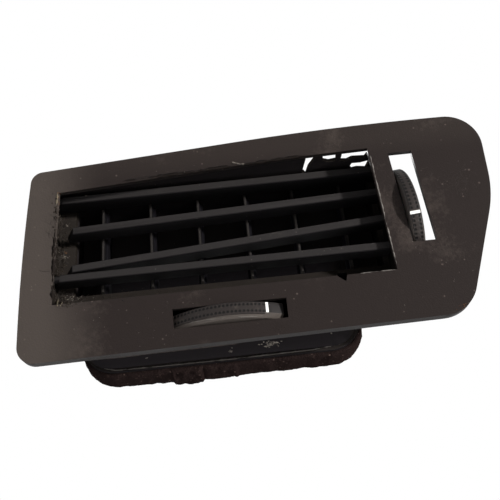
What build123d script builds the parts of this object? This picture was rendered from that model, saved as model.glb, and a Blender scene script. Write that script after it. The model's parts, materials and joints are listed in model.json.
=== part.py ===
"""Dashboard air vent with a broken slat set.

Millimetres. X runs to the right, Y back along the air duct, Z up. The origin is the middle of
the line between the two fixing lugs, on their front faces. The bezel leans over the duct: its
top is nearer to the driver, so everything on it is drawn on face_plane.
"""

import os
from math import cos, radians, sin

from build123d import *

# Bezel
lean = 13.0
face_setback = 16.0
plate = 2.4
skirt_depth = 2.6
skirt_wall = 1.8
bezel_top_left, bezel_top_bend, bezel_top_right = (-72.2, 41.8), (10.0, 46.7), (107.1, 48.2)
bezel_right_bend, bezel_bottom_right = (107.4, 13.8), (90.8, -33.3)
bezel_bottom_left, bezel_left_bow = (-79.0, -35.9), (-76.3, 6.0)
bezel_corners = [
    (bezel_top_left, 5.0), (bezel_top_right, 14.0), (bezel_right_bend, 50.0),
    (bezel_bottom_right, 14.0), (bezel_bottom_left, 6.5),
]

# Opening in the bezel, as widths on the face
opening_top_half = 61.7
opening_bottom_half = 65.9
opening_top_left_z = 32.2
opening_top_right_z = 37.9
opening_top_bend = (28.0, 37.2)
opening_bottom_z = -13.9
nick_x, nick_depth = 46.2, 2.6
nick_left, nick_right = 3.2, 0.6

# Thumbwheel slots in the bezel
low_slot_x, low_slot_z = 1.45, -24.25
low_slot_width, low_slot_height = 43.1, 7.7
side_slot_top = (74.21, 34.8)
side_slot_bottom = (78.11, -3.4)
side_slot_width = 9.1

# Housing
wall = 1.6
box_left, box_right = -67.2, 66.4
box_floor, box_top = -14.4, 41.5
box_top_front = 37.6
box_front, roof_bend_y = -26.0, 0.0
vane_room_left, vane_room_right = -60.8, 64.2
vane_room_back = 19.0
shelf_top = -1.0
ramp_foot_y, ramp_head_y = -4.5, 3.6
collar_left, collar_right = -58.1, 50.5
collar_bottom, collar_top = -25.0, 20.5
collar_corner = 11.0
collar_back = 38.0
bay_bottom = -29.6
bay_slope_y = 13.0
rib_height, rib_width = 2.4, 1.4
room_corner = 1.0

# Foam seal
foam_thickness = 3.5
foam_width = 11.5

# Fixing lugs and bezel screws
lug_half_span = 72.9
lug_radius = 4.6
lug_thickness = 3.0
lug_hole_r = 2.2
screw_r = 1.3
screw_head_r = 2.6
screw_head = 1.6
boss_r = 2.6
ear_thickness = 2.0
ear_drop = 1.0
bezel_screw_places = [(-61.0, -24.5), (59.0, -24.5), (-71.6, 24.0)]

# Slats, counted from the top
slat_heights = [36.4, 24.9, 11.9, -1.2]
slat_axis_y = -10.6
slat_nose = 1.5
slat_tail = 11.0
slat_nose_thickness = 3.0
slat_tail_thickness = 1.2
slat_rest_pitch = 15.0
slat_end_gap = 0.6
slat_corner_cut = 3.7
slat_pin_r = 1.5
slat_drops = {2: 1.9, 3: 4.2}
slat_break = 4.6
slat_cut_back = 6.0
crank_arm = 5.0
crank_thickness = 1.4
crank_pin_r = 1.1
running_gap = 0.05
loose_gap = 0.2
side_gap = 0.3
slot_gap = 0.6
slat_edge_round = 0.4
blade_edge_share = 0.4
crank_gap = 0.3
crank_end_r = 2.0
link_side_gap = 0.25
slat_link_thickness = 1.6
slat_link_rim = 0.9
drive_slot_length = 4.1
drive_slot_shift = 0.6
screw_grip = 2.8
screw_tip_space = 0.4

# Vanes
vane_count = 6
vane_pitch = 20.1
vane_centre_x = 1.2
vane_front_y, vane_back_y = 2.2, 18.0
vane_axis_y = 8.0
vane_thickness = 1.4
vane_rib_r = 1.7
vane_pin_r = 1.3
vane_gap = 0.5
vane_crank = 8.0
link_thickness = 2.5
link_width = 4.6
link_lug, link_lug_corner = 10.0, 1.5
post_slot_length = 7.6
vane_notch_gap = 1.0

# Lower thumbwheel, a wide sector on an upright pin
low_wheel_r = 45.0
low_wheel_proud = 2.45
low_wheel_thickness = 6.4
low_rim_width = 7.0
low_web = 2.0
low_wheel_right, low_wheel_left = 26.5, -44.0
low_mark_angle = 18.1
low_pin_r = 1.8
low_hub_r = 3.8
low_swing = 15.0
post_r = 2.0

# Side thumbwheel, a short sector on a cross pin
side_wheel_r = 21.0
side_wheel_proud = 3.5
side_wheel_along = 0.595
side_wheel_offset = -1.8
side_wheel_width = 5.0
side_rim = 4.5
side_web, side_web_inset = 1.8, 0.8
side_upper_end, side_lower_end = 60.0, -60.0
side_mark_angle = -26.0
side_pin_r = 1.2
side_hub_r = 3.4
side_drive_arm = 5.0
side_drive_pin_r = 1.2
side_drive_boss = 1.2
side_drive_reach = 2.85
side_pin_reach = 8.1

mark_depth = 0.4
mark_proud = 0.03
rim_round = 0.5
mark_half_deg_low = 0.65
mark_half_deg_side = 1.6
low_flange, side_flange = 1.6, 0.5
low_window_inner, low_window_outer = 10.0, 34.0
low_window_edge, low_spoke = 5.0, 7.0
pin_end = 0.6
pin_head = 1.2
pin_head_extra = 1.4
rim_overlap = 1.0
cut_margin = 1.0

c, s = cos(radians(lean)), sin(radians(lean))
face_plane = Plane(origin=(0, -face_setback, 0), x_dir=(1, 0, 0), z_dir=(0, -c, -s))
back_plane = face_plane.offset(-plate)


def on_face(x, z, depth=0.0):
    """Global point at (x, z) on the bezel face, depth mm behind it."""
    return Vector(x, -face_setback + depth * c - z * s, depth * s + z * c)


def save(part, name):
    """Label one finished piece and write its STEP file."""
    part.label = name
    os.makedirs("parts", exist_ok=True)
    export_step(part, f"parts/{name}.step")


def square_to_duct(y):
    """Plane across the duct at y, with local x to the right and local y up."""
    return Plane(origin=(0, y, 0), x_dir=(1, 0, 0), z_dir=(0, -1, 0))


def box_sketch(left, right, bottom, top, corner=0.0):
    """Rectangle given by its four sides, drawn into the open sketch."""
    with Locations(((left + right) / 2, (bottom + top) / 2)):
        if corner:
            RectangleRounded(right - left, top - bottom, corner)
        else:
            Rectangle(right - left, top - bottom)


# Bezel: plate with a short skirt round its edge

def bezel_outline():
    """Edge of the bezel: bowed left end, rising top and a wide swept right end."""
    with BuildSketch() as sketch:
        with BuildLine():
            top_side = Line(bezel_top_left, bezel_top_bend)
            TangentArc(top_side @ 1, bezel_top_right, tangent=top_side % 1)
            Polyline(bezel_top_right, bezel_right_bend, bezel_bottom_right, bezel_bottom_left)
            ThreePointArc(bezel_bottom_left, bezel_left_bow, bezel_top_left)
        make_face()
        for corner, radius in bezel_corners:
            fillet(sketch.vertices().sort_by_distance(corner)[0], radius=radius)
    return sketch.sketch


def opening_outline():
    """Opening of the bezel, wider at the bottom, with a small nick in its lower edge."""
    with BuildSketch() as sketch:
        with BuildLine():
            Polyline(
                (-opening_bottom_half, opening_bottom_z),
                (nick_x - nick_left, opening_bottom_z),
                (nick_x, opening_bottom_z - nick_depth),
                (nick_x + nick_right, opening_bottom_z),
                (opening_bottom_half, opening_bottom_z),
                (opening_top_half, opening_top_right_z),
                opening_top_bend,
                (-opening_top_half, opening_top_left_z),
                close=True,
            )
        make_face()
    return sketch.sketch


def side_slot_outline():
    """Leaning slot for the side thumbwheel."""
    half = side_slot_width / 2
    top_x, top_z = side_slot_top
    bottom_x, bottom_z = side_slot_bottom
    with BuildSketch() as sketch:
        with BuildLine():
            Polyline(
                (top_x - half, top_z), (top_x + half, top_z),
                (bottom_x + half, bottom_z), (bottom_x - half, bottom_z), close=True,
            )
        make_face()
    return sketch.sketch


bezel_edge = bezel_outline()
opening = opening_outline()
side_slot = side_slot_outline()

with BuildPart() as bezel:
    with BuildSketch(face_plane):
        add(bezel_edge)
    extrude(amount=-plate)
    with BuildSketch(back_plane):
        add(bezel_edge)
        offset(amount=-skirt_wall, mode=Mode.SUBTRACT)
        with Locations(*bezel_screw_places):
            Circle(boss_r)
    extrude(amount=-skirt_depth)
    with BuildSketch(face_plane):
        add(opening)
        add(side_slot)
        with Locations((low_slot_x, low_slot_z)):
            Rectangle(low_slot_width, low_slot_height)
    extrude(amount=-plate, mode=Mode.SUBTRACT)
    with BuildSketch(back_plane.offset(-skirt_depth)):
        with Locations(*bezel_screw_places):
            Circle(screw_r)
    extrude(amount=screw_grip + screw_tip_space, mode=Mode.SUBTRACT)
save(bezel.part, "bezel")


# Places that several pieces share

vane_places = [vane_centre_x + vane_pitch * (i - (vane_count - 1) / 2) for i in range(vane_count)]
vane_link_y = vane_axis_y + vane_crank
vane_bottom = shelf_top + vane_gap
collar_front = vane_room_back + wall
low_wheel_z = on_face(low_slot_x, low_slot_z, plate / 2).Z
low_pin_y = on_face(low_slot_x, low_slot_z).Y - low_wheel_proud + low_wheel_r
post_arm = low_pin_y - vane_link_y
post_travel = post_arm * sin(radians(low_swing))
low_web_top = low_wheel_z + low_wheel_thickness / 2
low_hub_bottom = collar_bottom + wall + side_gap

slot_top = Vector(*side_slot_top)
slot_bottom = Vector(*side_slot_bottom)
slot_middle = slot_top + (slot_bottom - slot_top) * side_wheel_along
slot_lean = (slot_bottom.X - slot_top.X) / (slot_top.Y - slot_bottom.Y)
side_centre = on_face(
    slot_middle.X + side_wheel_offset, slot_middle.Y, side_wheel_r - side_wheel_proud
)
side_axis = Vector(1, 0, slot_lean).normalized()
side_plane = Plane(origin=side_centre, x_dir=(0, 1, 0), z_dir=side_axis)
slat_link_y = slat_axis_y + crank_arm
right_wall_outside = box_right + wall


# Housing: stepped box over a bay for the lower thumbwheel, with a round cornered inlet collar

def along_x(points, left, right):
    """Solid with a side outline given in Y and Z, from x = left to x = right."""
    with BuildPart(mode=Mode.PRIVATE) as block:
        with BuildSketch(Plane.YZ.offset(left)):
            with BuildLine():
                Polyline(*points, close=True)
            make_face()
        extrude(amount=right - left)
    return block.part


def upright(outline, bottom, top):
    """Solid with a top view outline given in X and Y, between two heights."""
    with BuildPart(mode=Mode.PRIVATE) as block:
        with BuildSketch(Plane.XY.offset(bottom)):
            with BuildLine():
                Polyline(*outline, close=True)
            make_face()
        extrude(amount=top - bottom)
    return block.part


def duct_piece(y_start, y_end, start, end, corner_start=room_corner, corner_end=room_corner):
    """Straight or tapering length of duct between two rounded rectangles."""
    with BuildPart(mode=Mode.PRIVATE) as block:
        for y, sides, corner in ((y_start, start, corner_start), (y_end, end, corner_end)):
            with BuildSketch(square_to_duct(y)):
                box_sketch(*sides, corner)
        loft()
    return block.part


def grown(sides, amount):
    """Four sides moved outwards by one amount."""
    left, right, bottom, top = sides
    return (left - amount, right + amount, bottom - amount, top + amount)


box_back = ramp_head_y + wall
box_inside = [
    (box_front, box_floor), (ramp_foot_y, box_floor), (ramp_head_y, shelf_top),
    (ramp_head_y, box_top), (roof_bend_y, box_top), (box_front, box_top_front),
]
box_outside = [
    (box_front, box_floor - wall), (box_back, box_floor - wall),
    (box_back, box_top + wall), (roof_bend_y, box_top + wall),
    (box_front, box_top_front + wall),
]
bay_ceiling = [
    (box_front, bay_bottom), (collar_back - wall, bay_bottom),
    (collar_back - wall, shelf_top - wall), (ramp_head_y, shelf_top - wall),
    (ramp_foot_y - wall / 2, box_floor - wall), (box_front, box_floor - wall),
]
vane_room = (vane_room_left, vane_room_right, shelf_top, box_top)
vane_block = grown(vane_room, wall)
passage = (collar_left + wall, collar_right - wall, shelf_top, collar_top - wall)
collar = (collar_left, collar_right, collar_bottom, collar_top)
bay_top = shelf_top + collar_corner
bay_front_sides = (collar_left, collar_right, bay_bottom, bay_top)
bay_rear_sides = (collar_left, collar_right, collar_bottom, bay_top)
roof_breaks = [
    [(37.1, -30.0), (37.4, -19.5), (36.0, -9.6), (36.9, -9.0), (37.6, -7.4), (38.6, -13.0),
     (40.9, -18.6), (40.4, -30.0)],
    [(44.5, -30.0), (44.3, -17.0), (46.9, -15.6), (49.8, -16.2), (49.3, -30.0)],
    [(52.2, -30.0), (52.0, -19.5), (51.4, -15.4), (54.3, -14.8), (56.3, -16.4), (61.6, -15.9),
     (62.5, -18.6), (62.2, -30.0)],
    [(55.6, -9.6), (56.5, -12.7), (60.0, -12.6), (62.9, -13.5), (63.5, -11.2), (62.6, -6.9),
     (59.0, -7.8), (56.9, -7.2)],
]
ramp_break = [
    (44.0, -5.2), (45.4, -2.0), (44.6, ramp_head_y), (box_right, ramp_head_y), (box_right, -5.2),
]


def collar_ring(y_start, y_end, height):
    """Block of the collar's outline grown by a height, between two places along the duct."""
    sides, corner = grown(collar, height), collar_corner + height
    return duct_piece(y_start, y_end, sides, sides, corner, corner)


def bay_shape(inset):
    """Outline of the bay for the lower thumbwheel, drawn in by an even amount."""
    front, rear = grown(bay_front_sides, -inset), grown(bay_rear_sides, -inset)
    corner = collar_corner - inset
    with BuildPart(mode=Mode.PRIVATE) as shape:
        add(duct_piece(box_front, bay_slope_y, front, front, corner, corner))
        add(duct_piece(bay_slope_y, collar_front, front, rear, corner, corner))
        add(duct_piece(collar_front, collar_back, rear, rear, corner, corner))
    return shape.part


with BuildPart() as bay_space:
    add(bay_shape(wall))
    add(along_x(bay_ceiling, collar_left, collar_right), mode=Mode.INTERSECT)

with BuildPart() as housing:
    add(bay_shape(0.0))
    add(along_x(box_outside, box_left - wall, right_wall_outside))
    add(duct_piece(ramp_head_y, collar_front, vane_block, vane_block))
    add(collar_ring(collar_front - wall, collar_back, 0.0))
    add(collar_ring(collar_front, collar_front + rib_width, rib_height))
    for side in (-1, 1):
        with BuildSketch(square_to_duct(0)):
            with Locations((side * lug_half_span, 0)):
                Circle(lug_radius)
            wall_x = right_wall_outside if side > 0 else box_left - wall
            with Locations(((side * lug_half_span + wall_x) / 2, 0)):
                Rectangle(abs(side * lug_half_span - wall_x), 2 * lug_radius)
        extrude(amount=-lug_thickness)
    with BuildSketch(back_plane.offset(-skirt_depth)):
        for x, z in bezel_screw_places:
            if z < 0:
                box_sketch(x - boss_r, x + boss_r, z - boss_r, box_floor - wall - ear_drop)
            else:
                box_sketch(x - boss_r, box_left - wall / 2, z - boss_r, z + boss_r)
    extrude(amount=-ear_thickness)
    add(bay_space.part, mode=Mode.SUBTRACT)
    add(along_x(box_inside, box_left, box_right), mode=Mode.SUBTRACT)
    add(duct_piece(roof_bend_y, vane_room_back, vane_room, vane_room), mode=Mode.SUBTRACT)
    add(duct_piece(vane_room_back, collar_back, passage, passage,
                   collar_corner - wall, collar_corner - wall), mode=Mode.SUBTRACT)
    # Bearing holes of the slats, the vanes and the two thumbwheel pins
    for number, height in enumerate(slat_heights, start=1):
        worn = loose_gap if number in slat_drops else running_gap
        with BuildSketch(Plane.YZ.offset(box_left - wall)):
            with Locations((slat_axis_y, height)):
                Circle(slat_pin_r + running_gap)
        extrude(amount=wall, mode=Mode.SUBTRACT)
        with BuildSketch(Plane.YZ.offset(box_right)):
            with Locations((slat_axis_y, height)):
                Circle(slat_pin_r + worn)
        extrude(amount=wall, mode=Mode.SUBTRACT)
    with BuildSketch(Plane.XY.offset(shelf_top - wall)):
        with Locations(*[(x, vane_axis_y) for x in vane_places]):
            Circle(vane_pin_r + running_gap)
        with Locations((low_slot_x, vane_link_y)):
            SlotOverall(2 * (post_travel + post_r + slot_gap), 2 * (post_r + slot_gap))
    extrude(amount=wall, mode=Mode.SUBTRACT)
    with BuildSketch(Plane.XY.offset(box_top)):
        with Locations(*[(x, vane_axis_y) for x in vane_places]):
            Circle(vane_pin_r + running_gap)
    extrude(amount=wall, mode=Mode.SUBTRACT)
    with BuildSketch(Plane.XY.offset(collar_bottom)):
        with Locations((low_slot_x, low_pin_y)):
            Circle(low_pin_r)
    extrude(amount=wall, mode=Mode.SUBTRACT)
    with BuildSketch(side_plane.offset(-side_pin_reach)):
        Circle(side_pin_r)
    extrude(amount=side_pin_reach, mode=Mode.SUBTRACT)
    with BuildSketch(square_to_duct(0)):
        with Locations((-lug_half_span, 0), (lug_half_span, 0)):
            Circle(lug_hole_r)
    extrude(amount=-lug_thickness, mode=Mode.SUBTRACT)
    with BuildSketch(back_plane.offset(-skirt_depth - ear_thickness)):
        with Locations(*bezel_screw_places):
            Circle(screw_r + loose_gap)
    extrude(amount=ear_thickness, mode=Mode.SUBTRACT)
    # The damage: ragged holes in the roof's front right corner, and the lost end of the ramp
    for outline in roof_breaks:
        add(upright(outline, box_top_front - wall, box_top + 2 * wall), mode=Mode.SUBTRACT)
    add(upright(ramp_break, box_floor - wall, shelf_top), mode=Mode.SUBTRACT)
    split(bisect_by=back_plane, keep=Keep.BOTTOM)
save(housing.part, "housing")


# Foam seal: strip wrapped round the collar behind its rib

foam_front = collar_front + rib_width
with BuildPart() as foam_seal:
    add(collar_ring(foam_front, foam_front + foam_width, foam_thickness))
    add(collar_ring(foam_front, foam_front + foam_width, 0.0), mode=Mode.SUBTRACT)
save(foam_seal.part, "foam_seal")


# Bezel screws, driven from behind through the ears

with BuildPart() as bezel_screws:
    with BuildSketch(back_plane.offset(-skirt_depth - ear_thickness)):
        with Locations(*bezel_screw_places):
            Circle(screw_head_r)
    extrude(amount=-screw_head)
    with BuildSketch(back_plane.offset(-skirt_depth - ear_thickness)):
        with Locations(*bezel_screw_places):
            Circle(screw_r)
    extrude(amount=ear_thickness + screw_grip)
save(bezel_screws.part, "bezel_screws")


# Slats: tapered blades on end pins. Two have lost their left ends and hang from the right.

def blade_outline():
    """Section of a slat about its pin: blunt nose, thin tail, turned up at the rear."""
    tip, tail = slat_nose_thickness / 2, slat_tail_thickness / 2
    with BuildSketch() as sketch:
        with BuildLine():
            Polyline((-slat_nose, -tip), (-slat_nose, tip), (0, tip), (slat_tail, tail),
                     (slat_tail, -tail), (0, -tip), close=True)
        make_face()
        fillet(sketch.vertices().group_by(Axis.X)[0], radius=slat_edge_round)
        fillet(sketch.vertices().group_by(Axis.X)[-1], radius=slat_tail_thickness * blade_edge_share)
    return sketch.sketch.rotate(Axis.Z, slat_rest_pitch)


blade_section = blade_outline()
blade_left = box_left + slat_end_gap - box_right
cut_reach = slat_tail + slat_nose


def slat(whole):
    """One slat with the middle of its right pin at the origin of X, as it lies at rest."""
    left = blade_left if whole else blade_left + slat_break
    with BuildPart(mode=Mode.PRIVATE) as blade:
        with BuildSketch(Plane.YZ.offset(left)):
            add(blade_section)
        extrude(amount=-slat_end_gap - left)
        with BuildSketch(Plane.XY.offset(-slat_tail)):
            with BuildLine():
                Polyline((left - cut_margin, -cut_reach), (left + slat_corner_cut, -cut_reach),
                         (left + slat_corner_cut, -slat_nose), (left, slat_cut_back),
                         (left - cut_margin, slat_cut_back), close=True)
            make_face()
        extrude(amount=2 * slat_tail, mode=Mode.SUBTRACT)
        with BuildSketch(Plane.YZ.offset(-slat_end_gap)):
            Circle(slat_pin_r)
        extrude(amount=slat_end_gap + wall + (crank_gap if whole else 0))
        if whole:
            with BuildSketch(Plane.YZ.offset(blade_left - slat_end_gap - wall)):
                Circle(slat_pin_r)
            extrude(amount=slat_end_gap + wall + slat_corner_cut)
            with BuildSketch(Plane.YZ.offset(wall + crank_gap)):
                with Locations((crank_arm / 2, 0)):
                    SlotCenterToCenter(crank_arm, 2 * crank_end_r)
            extrude(amount=crank_thickness)
            with BuildSketch(Plane.YZ.offset(wall + crank_gap + crank_thickness)):
                with Locations((crank_arm, 0)):
                    Circle(crank_pin_r)
            extrude(amount=slat_link_thickness + 2 * link_side_gap)
    return blade.part


for number, height in enumerate(slat_heights, start=1):
    drop = radians(slat_drops.get(number, 0.0))
    seat = Plane(
        origin=(box_right, slat_axis_y, height),
        x_dir=(cos(drop), 0, sin(drop)), z_dir=(-sin(drop), 0, cos(drop)),
    )
    save(seat * slat(number not in slat_drops), f"slat_{number}")


# Slat link: upright bar on the cranks, with a slot for the side thumbwheel's drive pin

slat_link_x = right_wall_outside + crank_gap + crank_thickness + link_side_gap
drive_slot_width = 2 * (side_drive_pin_r + loose_gap)
drive_y = side_centre.Y - side_drive_arm
drive_z = side_centre.Z - (side_centre.X - slat_link_x - slat_link_thickness / 2) * slot_lean
link_top, link_bottom = slat_heights[0] + crank_end_r, slat_heights[-1] - crank_end_r
with BuildPart() as slat_link:
    with BuildSketch(Plane.YZ.offset(slat_link_x)):
        with Locations((slat_link_y, (link_top + link_bottom) / 2)):
            SlotOverall(link_top - link_bottom, 2 * crank_end_r, rotation=90)
        with Locations((drive_y + drive_slot_shift, drive_z)):
            SlotOverall(drive_slot_length + 2 * slat_link_rim, drive_slot_width + 2 * slat_link_rim)
        with Locations(*[(slat_link_y, height) for height in slat_heights]):
            Circle(crank_pin_r + running_gap, mode=Mode.SUBTRACT)
        with Locations((drive_y + drive_slot_shift, drive_z)):
            SlotOverall(drive_slot_length, drive_slot_width, mode=Mode.SUBTRACT)
    extrude(amount=slat_link_thickness)
save(slat_link.part, "slat_link")


# Vanes: upright blades, each on a pin at top and bottom, with a crank pin for the link

link_top_z = vane_bottom + link_thickness
vane_top = box_top - vane_gap
notch_y = vane_link_y - link_width / 2 - vane_notch_gap
for number, x in enumerate(vane_places, start=1):
    with BuildPart() as vane:
        with BuildSketch(Plane.YZ.offset(x - vane_thickness / 2)):
            with BuildLine():
                Polyline((vane_front_y, vane_bottom), (vane_front_y, vane_top),
                         (vane_back_y, vane_top), (vane_back_y, link_top_z + vane_gap),
                         (notch_y, link_top_z + vane_gap), (notch_y, vane_bottom), close=True)
            make_face()
        extrude(amount=vane_thickness)
        fillet(vane.edges().filter_by(Axis.Z).group_by(Axis.Y)[0], radius=vane_thickness * blade_edge_share)
        with BuildSketch(Plane.XY.offset(vane_bottom)):
            with Locations((x, vane_axis_y)):
                Circle(vane_rib_r)
        extrude(amount=vane_top - vane_bottom)
        with BuildSketch(Plane.XY.offset(shelf_top - wall)):
            with Locations((x, vane_axis_y)):
                Circle(vane_pin_r)
        extrude(amount=box_top - shelf_top + 2 * wall)
        with BuildSketch(Plane.XY.offset(vane_bottom)):
            with Locations((x, vane_link_y)):
                Circle(crank_pin_r)
        extrude(amount=link_thickness + 2 * vane_gap)
    save(vane.part, f"vane_{number}")

with BuildPart() as vane_link:
    with BuildSketch(Plane.XY.offset(vane_bottom)):
        with Locations((vane_centre_x, vane_link_y)):
            SlotOverall(vane_places[-1] - vane_places[0] + link_width, link_width)
        with Locations((low_slot_x, vane_link_y)):
            RectangleRounded(link_lug, link_lug, link_lug_corner)
        with Locations(*[(x, vane_link_y) for x in vane_places]):
            Circle(crank_pin_r + running_gap, mode=Mode.SUBTRACT)
        with Locations((low_slot_x, vane_link_y)):
            SlotOverall(post_slot_length, 2 * (post_r + loose_gap), rotation=90, mode=Mode.SUBTRACT)
    extrude(amount=link_thickness)
save(vane_link.part, "vane_link")


# Lower thumbwheel: rim sector, thin web with two windows, hub and drive post

low_centre = Vector(low_slot_x, low_pin_y)


def wedge(centre, reach, first, last, forward):
    """Fan from a centre between two angles in degrees from forward; its corners lie past the reach."""
    middle = (first + last) / 2
    corners = [centre]
    for angle in (first, middle, last):
        corners.append(centre + forward.rotate(Axis.Z, angle) * (2 * reach))
    with BuildSketch() as sketch:
        with BuildLine():
            Polyline(*corners, close=True)
        make_face()
    return sketch.sketch


def rim_section(radius, depth, half_width, flange):
    """Section of a thumbwheel's rim: grip face, round shoulder and a wide sloping flange."""
    with BuildSketch() as sketch:
        with BuildLine():
            Polyline((radius - depth, half_width), (radius - rim_round, half_width),
                     (radius, half_width - rim_round), (radius, -half_width + flange),
                     (radius - flange, -half_width), (radius - depth, -half_width), close=True)
        make_face()
    return sketch.sketch


low_forward = Vector(0, -1, 0)
low_sector = wedge(low_centre, low_wheel_r, low_wheel_left, low_wheel_right, low_forward)
low_windows = [
    wedge(low_centre, low_wheel_r, low_wheel_left + low_window_edge, -low_spoke, low_forward),
    wedge(low_centre, low_wheel_r, low_spoke, low_wheel_right - low_window_edge, low_forward),
]
low_section = rim_section(low_wheel_r, low_rim_width, low_wheel_thickness / 2, low_flange)
low_start = low_forward.rotate(Axis.Z, low_wheel_left)
low_rim_plane = Plane(
    origin=(low_slot_x, low_pin_y, low_wheel_z), x_dir=low_start,
    z_dir=low_start.cross(Vector(0, 0, 1)),
)
low_mark_start = low_forward.rotate(Axis.Z, low_mark_angle - mark_half_deg_low)
low_mark_plane = Plane(
    origin=(low_slot_x, low_pin_y, low_wheel_z), x_dir=low_mark_start,
    z_dir=low_mark_start.cross(Vector(0, 0, 1)),
)
low_turn_axis = Axis((low_slot_x, low_pin_y, low_wheel_z), (0, 0, 1))

with BuildPart() as lower_wheel_mark:
    with BuildSketch(low_mark_plane):
        box_sketch(low_wheel_r - mark_depth, low_wheel_r + mark_proud,
                   -low_wheel_thickness / 2 + low_flange, low_wheel_thickness / 2 - rim_round)
    revolve(axis=low_turn_axis, revolution_arc=2 * mark_half_deg_low)
save(lower_wheel_mark.part, "lower_wheel_mark")

with BuildPart() as lower_wheel:
    with BuildSketch(low_rim_plane):
        add(low_section)
    revolve(axis=low_turn_axis, revolution_arc=low_wheel_right - low_wheel_left)
    with BuildSketch(Plane.XY.offset(low_web_top - low_web)):
        with Locations(low_centre):
            Circle(low_wheel_r - low_rim_width + rim_overlap)
        add(low_sector, mode=Mode.INTERSECT)
        for window in low_windows:
            with BuildSketch(mode=Mode.PRIVATE) as cut:
                add(window)
                with Locations(low_centre):
                    Circle(low_window_outer, mode=Mode.INTERSECT)
                    Circle(low_window_inner, mode=Mode.SUBTRACT)
            add(cut.sketch, mode=Mode.SUBTRACT)
        with Locations(low_centre):
            Circle(low_hub_r)
    extrude(amount=low_web)
    with BuildSketch(Plane.XY.offset(low_hub_bottom)):
        with Locations(low_centre):
            Circle(low_hub_r)
    extrude(amount=low_web_top - low_hub_bottom)
    with BuildSketch(Plane.XY.offset(low_web_top)):
        with Locations((low_slot_x, vane_link_y)):
            Circle(post_r)
    extrude(amount=link_top_z - low_web_top)
    with BuildSketch(Plane.XY.offset(low_hub_bottom)):
        with Locations(low_centre):
            Circle(low_pin_r + running_gap)
    extrude(amount=low_web_top - low_hub_bottom, mode=Mode.SUBTRACT)
    add(lower_wheel_mark.part, mode=Mode.SUBTRACT)
save(lower_wheel.part, "lower_wheel")

with BuildPart() as lower_wheel_pin:
    with BuildSketch(Plane.XY.offset(collar_bottom)):
        with Locations(low_centre):
            Circle(low_pin_r)
    extrude(amount=low_web_top - collar_bottom + pin_end)
save(lower_wheel_pin.part, "lower_wheel_pin")


# Side thumbwheel: the same build, drawn in the leaning plane of its slot

side_forward = Vector(-1, 0, 0)
side_half = side_wheel_width / 2
side_sector = wedge(Vector(0, 0), side_wheel_r, -side_upper_end, -side_lower_end, side_forward)


def around_side(angle):
    """Plane through the side wheel's axis, its local x pointing out at an angle below forward."""
    out = side_plane.x_dir * -cos(radians(angle)) - side_plane.y_dir * sin(radians(angle))
    return Plane(origin=side_centre, x_dir=out, z_dir=out.cross(side_axis))


side_turn_axis = Axis(side_centre, side_axis)
side_section = rim_section(side_wheel_r, side_rim, side_half, side_flange)

with BuildPart() as side_wheel_mark:
    with BuildSketch(around_side(-side_mark_angle - mark_half_deg_side)):
        box_sketch(side_wheel_r - mark_depth, side_wheel_r + mark_proud,
                   -side_half + side_flange, side_half - rim_round)
    revolve(axis=side_turn_axis, revolution_arc=2 * mark_half_deg_side)
save(side_wheel_mark.part, "side_wheel_mark")

with BuildPart() as side_wheel:
    with BuildSketch(around_side(-side_upper_end)):
        add(side_section)
    revolve(axis=side_turn_axis, revolution_arc=side_upper_end - side_lower_end)
    with BuildSketch(side_plane.offset(side_web_inset - side_half)):
        Circle(side_wheel_r - side_rim + rim_overlap)
        add(side_sector, mode=Mode.INTERSECT)
        Circle(side_hub_r)
        with Locations((-side_drive_arm, 0)):
            Circle(side_drive_pin_r + side_drive_boss)
    extrude(amount=side_web)
    with BuildSketch(side_plane.offset(-side_half)):
        Circle(side_hub_r)
    extrude(amount=side_wheel_width)
    with BuildSketch(side_plane.offset(side_web_inset - side_half)):
        with Locations((-side_drive_arm, 0)):
            Circle(side_drive_pin_r)
    extrude(amount=-side_drive_reach)
    with BuildSketch(side_plane.offset(-side_half)):
        Circle(side_pin_r + running_gap)
    extrude(amount=side_wheel_width, mode=Mode.SUBTRACT)
    add(side_wheel_mark.part, mode=Mode.SUBTRACT)
save(side_wheel.part, "side_wheel")

with BuildPart() as side_wheel_pin:
    with BuildSketch(side_plane.offset(-side_pin_reach)):
        Circle(side_pin_r)
    extrude(amount=side_pin_reach + side_half + side_gap)
    with BuildSketch(side_plane.offset(side_half + side_gap)):
        Circle(side_pin_r + pin_head_extra)
    extrude(amount=pin_head)
save(side_wheel_pin.part, "side_wheel_pin")
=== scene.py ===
import json
import math

import bmesh
import bpy
import numpy as np
from mathutils import Matrix, Vector
from mathutils.bvhtree import BVHTree


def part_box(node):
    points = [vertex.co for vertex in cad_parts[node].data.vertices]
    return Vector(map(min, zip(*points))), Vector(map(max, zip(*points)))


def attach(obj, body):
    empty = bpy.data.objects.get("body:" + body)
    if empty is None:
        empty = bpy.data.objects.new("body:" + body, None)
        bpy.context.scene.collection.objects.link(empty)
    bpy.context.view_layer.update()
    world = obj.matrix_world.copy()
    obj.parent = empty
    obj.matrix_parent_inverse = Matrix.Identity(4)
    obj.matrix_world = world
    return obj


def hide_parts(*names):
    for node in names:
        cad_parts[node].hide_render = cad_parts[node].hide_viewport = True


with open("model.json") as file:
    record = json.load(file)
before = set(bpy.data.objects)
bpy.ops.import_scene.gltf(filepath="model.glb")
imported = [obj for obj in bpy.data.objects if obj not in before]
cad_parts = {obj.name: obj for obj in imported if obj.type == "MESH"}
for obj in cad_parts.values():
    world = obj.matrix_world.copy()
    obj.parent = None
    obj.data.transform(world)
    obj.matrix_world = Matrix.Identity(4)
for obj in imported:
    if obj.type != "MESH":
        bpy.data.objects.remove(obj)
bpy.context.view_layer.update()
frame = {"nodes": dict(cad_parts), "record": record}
nodes = frame["nodes"]
MM = 0.001

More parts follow.
